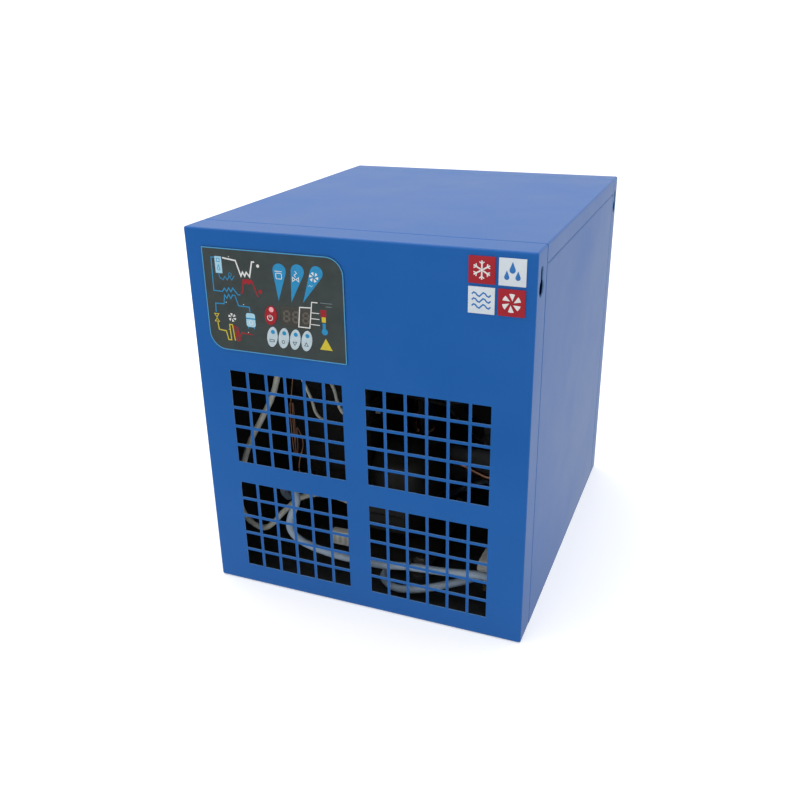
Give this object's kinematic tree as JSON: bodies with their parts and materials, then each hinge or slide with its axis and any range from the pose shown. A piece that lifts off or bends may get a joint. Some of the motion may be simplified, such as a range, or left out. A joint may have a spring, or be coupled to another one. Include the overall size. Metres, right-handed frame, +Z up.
{
  "type": "refrigerated air dryer",
  "caption": "Compact refrigerated compressed-air dryer: blue folded-sheet cabinet with punched air grilles, membrane control panel and rear pipe ports.",
  "frame": {"origin": "centre of the cabinet's footprint, on the underside of the base tray", "axes": "+Z up, +Y from the front grille and control panel to the rear ports, +X to the right seen from the front"},
  "size_m": [0.37, 0.4636, 0.423],
  "materials": {
    "cabinet_paint": "saturated blue stoved powder coat, semi-gloss",
    "galvanised": "galvanised sheet, unpainted",
    "zinc": "bright zinc plate",
    "overlay": "dark grey printed polyester film, fine matt texture",
    "lens": "smoked clear window",
    "red_key": "domed film key, red",
    "white_key": "domed film key, white",
    "white_plastic": "white nylon",
    "black_plastic": "moulded black nylon",
    "board": "glass-epoxy circuit board, green lacquer",
    "badge": "plain satin anodised plate",
    "black_paint": "black machine enamel",
    "rubber": "matt black",
    "fins": "mill-finish fin stack",
    "foam": "closed-cell elastomer insulation",
    "brass": "turned, dull",
    "copper": "drawn copper tube, slightly tarnished",
    "hose": "grey nylon hose",
    "cable": "grey PVC sheath"
  },
  "bodies": {
    "cabinet": {"base_tray": "galvanised", "front_panel": "cabinet_paint", "rear_panel": "cabinet_paint", "top_cover": "cabinet_paint", "left_side_panel": "cabinet_paint", "right_side_panel": "cabinet_paint", "rear_top_rail": "galvanised", "rear_panel_screw_1": "zinc", "rear_panel_screw_2": "zinc", "rear_panel_screw_3": "zinc", "rear_panel_screw_4": "zinc", "control_overlay": "overlay", "display_lens": "lens", "control_housing": "black_plastic", "control_board": "board", "display_module": "black_plastic", "badge_plate": "badge", "compressor_shell": "black_paint", "compressor_base_plate": "black_paint", "compressor_grommet_1": "rubber", "compressor_grommet_2": "rubber", "compressor_grommet_3": "rubber", "compressor_grommet_4": "rubber", "compressor_terminal_cover": "black_plastic", "condenser_core": "fins", "fan_shroud": "black_paint", "fan_motor": "black_paint", "fan_motor_bracket": "galvanised", "heat_exchanger": "foam", "exchanger_stand": "galvanised", "inlet_port": "brass", "outlet_port": "brass", "inlet_pipe": "copper", "outlet_pipe": "copper", "drain_port": "brass", "cable_gland": "black_plastic", "strainer_ball_valve": "brass", "drain_solenoid_valve": "brass", "drain_solenoid_coil": "white_plastic", "condensate_hose": "hose", "drain_outlet_hose": "hose", "hose_tie": "black_plastic", "wiring_connector": "white_plastic", "suction_line": "foam", "discharge_line": "copper", "liquid_line": "copper", "filter_drier": "copper", "hot_gas_valve": "brass", "hot_gas_line": "copper", "capillary_tube": "copper", "compressor_cable": "cable", "fan_cable": "cable", "probe_cable": "cable"},
    "fan": {"fan_rotor": "black_plastic"},
    "power_button": {"power_key": "red_key"},
    "set_button": {"set_key": "white_key"},
    "test_button": {"test_key": "white_key"},
    "down_button": {"down_key": "white_key"},
    "up_button": {"up_key": "white_key"},
    "drain_lever": {"drain_valve_lever": "black_plastic"}
  },
  "joints": [
    {"name": "fan_spin", "type": "hinge", "parent": "cabinet", "child": "fan", "pos_m": [0.061, 0.1207, 0.146], "axis": [0, 1, 0], "continuous": true},
    {"name": "power_press", "type": "slide", "parent": "cabinet", "child": "power_button", "axis": [0, 1, 0], "range_m": [0, 0.0005], "stiffness_N_per_m": 2000, "springref_m": -0.0005},
    {"name": "set_press", "type": "slide", "parent": "cabinet", "child": "set_button", "axis": [0, 1, 0], "range_m": [0, 0.0005], "stiffness_N_per_m": 2000, "springref_m": -0.0005},
    {"name": "test_press", "type": "slide", "parent": "cabinet", "child": "test_button", "axis": [0, 1, 0], "range_m": [0, 0.0005], "stiffness_N_per_m": 2000, "springref_m": -0.0005},
    {"name": "down_press", "type": "slide", "parent": "cabinet", "child": "down_button", "axis": [0, 1, 0], "range_m": [0, 0.0005], "stiffness_N_per_m": 2000, "springref_m": -0.0005},
    {"name": "up_press", "type": "slide", "parent": "cabinet", "child": "up_button", "axis": [0, 1, 0], "range_m": [0, 0.0005], "stiffness_N_per_m": 2000, "springref_m": -0.0005},
    {"name": "drain_lever_turn", "type": "hinge", "parent": "cabinet", "child": "drain_lever", "pos_m": [-0.145, -0.0823, 0.08], "axis": [0, 0, 1], "range_deg": [0, 90]}
  ]
}
